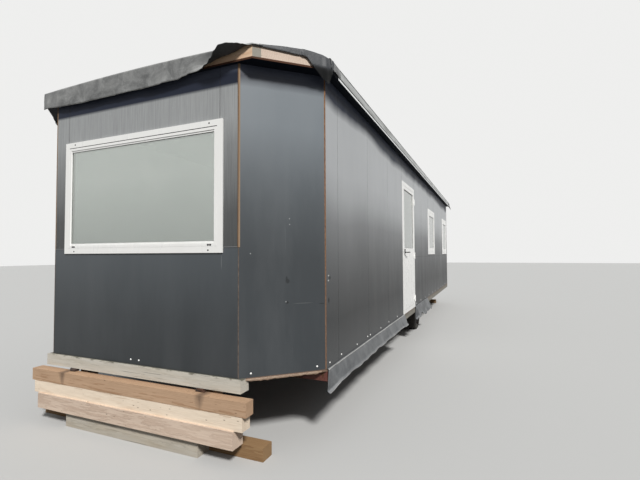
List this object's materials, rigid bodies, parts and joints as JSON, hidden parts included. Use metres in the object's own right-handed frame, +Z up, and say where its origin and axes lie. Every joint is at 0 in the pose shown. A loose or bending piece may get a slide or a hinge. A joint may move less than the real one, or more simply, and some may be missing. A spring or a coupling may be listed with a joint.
{
  "type": "static caravan",
  "caption": "Static caravan with canted front corners, dark sheet cladding, white door and windows, low rubber roof, on timber cribbing.",
  "frame": {"origin": "middle of the footprint, at the ground that the sleepers and tyres stand on", "axes": "+Z up, +Y from the canted front to the rear along the length, +X to the side with the door"},
  "size_m": [3.206, 10.344, 3.049],
  "materials": {
    "weathered_wood": "rough, greyed",
    "pine": "sawn",
    "packer_steel": "rusty",
    "chassis_steel": "red oxide primer",
    "tyre": "matt",
    "wheel_steel": "worn",
    "plywood": "raw edge",
    "wall_core": "framed",
    "dark_sheet": "film-faced, satin",
    "streaked_sheet": "film-faced, weathered and streaked",
    "batten": "orange brown",
    "white_frame": "white, satin",
    "glass": "clear",
    "black_metal": "black",
    "soffit": "dark film-faced",
    "roof_core": "framed and boarded",
    "rubber": "matt, dusty",
    "trim_metal": "mill finish"
  },
  "bodies": {
    "building": {"crib_sleepers": "weathered_wood", "crib_beams_low": "pine", "crib_beams_mid": "pine", "crib_beams_top": "pine", "crib_ground_blocks": "pine", "crib_posts": "pine", "crib_packers": "packer_steel", "rails_end": "weathered_wood", "rails_side": "weathered_wood", "floor_deck": "plywood", "chassis_beams": "chassis_steel", "chassis_crossmembers": "chassis_steel", "axle": "chassis_steel", "tyres": "tyre", "wheel_rims": "wheel_steel", "wall_front": "wall_core", "walls_canted": "wall_core", "wall_right_front": "wall_core", "wall_right_over_door": "wall_core", "wall_right_rear": "wall_core", "wall_left": "wall_core", "wall_rear": "wall_core", "cladding_front_lower": "dark_sheet", "cladding_front_upper": "streaked_sheet", "cladding_canted": "dark_sheet", "cladding_right": "dark_sheet", "cladding_left": "dark_sheet", "cladding_rear": "dark_sheet", "corner_battens": "batten", "window_front_frame": "white_frame", "window_side_frames": "white_frame", "window_glass": "glass", "door_frame": "white_frame", "door_hinges_frame": "white_frame", "soffit_board": "soffit", "roof_core": "roof_core", "fascia_end_beams": "pine", "fascia_canted": "pine", "eave_boards": "soffit", "roof_membrane": "rubber", "eave_trims": "trim_metal", "membrane_flap_front": "rubber", "membrane_flaps_corner": "rubber", "skirt_flaps_right": "rubber", "skirt_flap_left": "rubber"},
    "door": {"door_leaf": "white_frame", "door_glass": "glass", "door_handle_plates": "black_metal", "door_hinges_leaf": "white_frame"},
    "lever": {"lever_handle": "black_metal"}
  },
  "joints": [
    {"name": "door_hinge", "type": "hinge", "parent": "building", "child": "door", "pos_m": [1.543, -0.6525, 1.455], "axis": [0, 0, 1], "range_deg": [0, 105]},
    {"name": "handle_turn", "type": "hinge", "parent": "door", "child": "lever", "pos_m": [1.533, -1.453, 1.509], "axis": [1, 0, 0], "range_deg": [-40, 0], "stiffness_Nm_per_rad": 2, "springref_deg": 28.65}
  ]
}
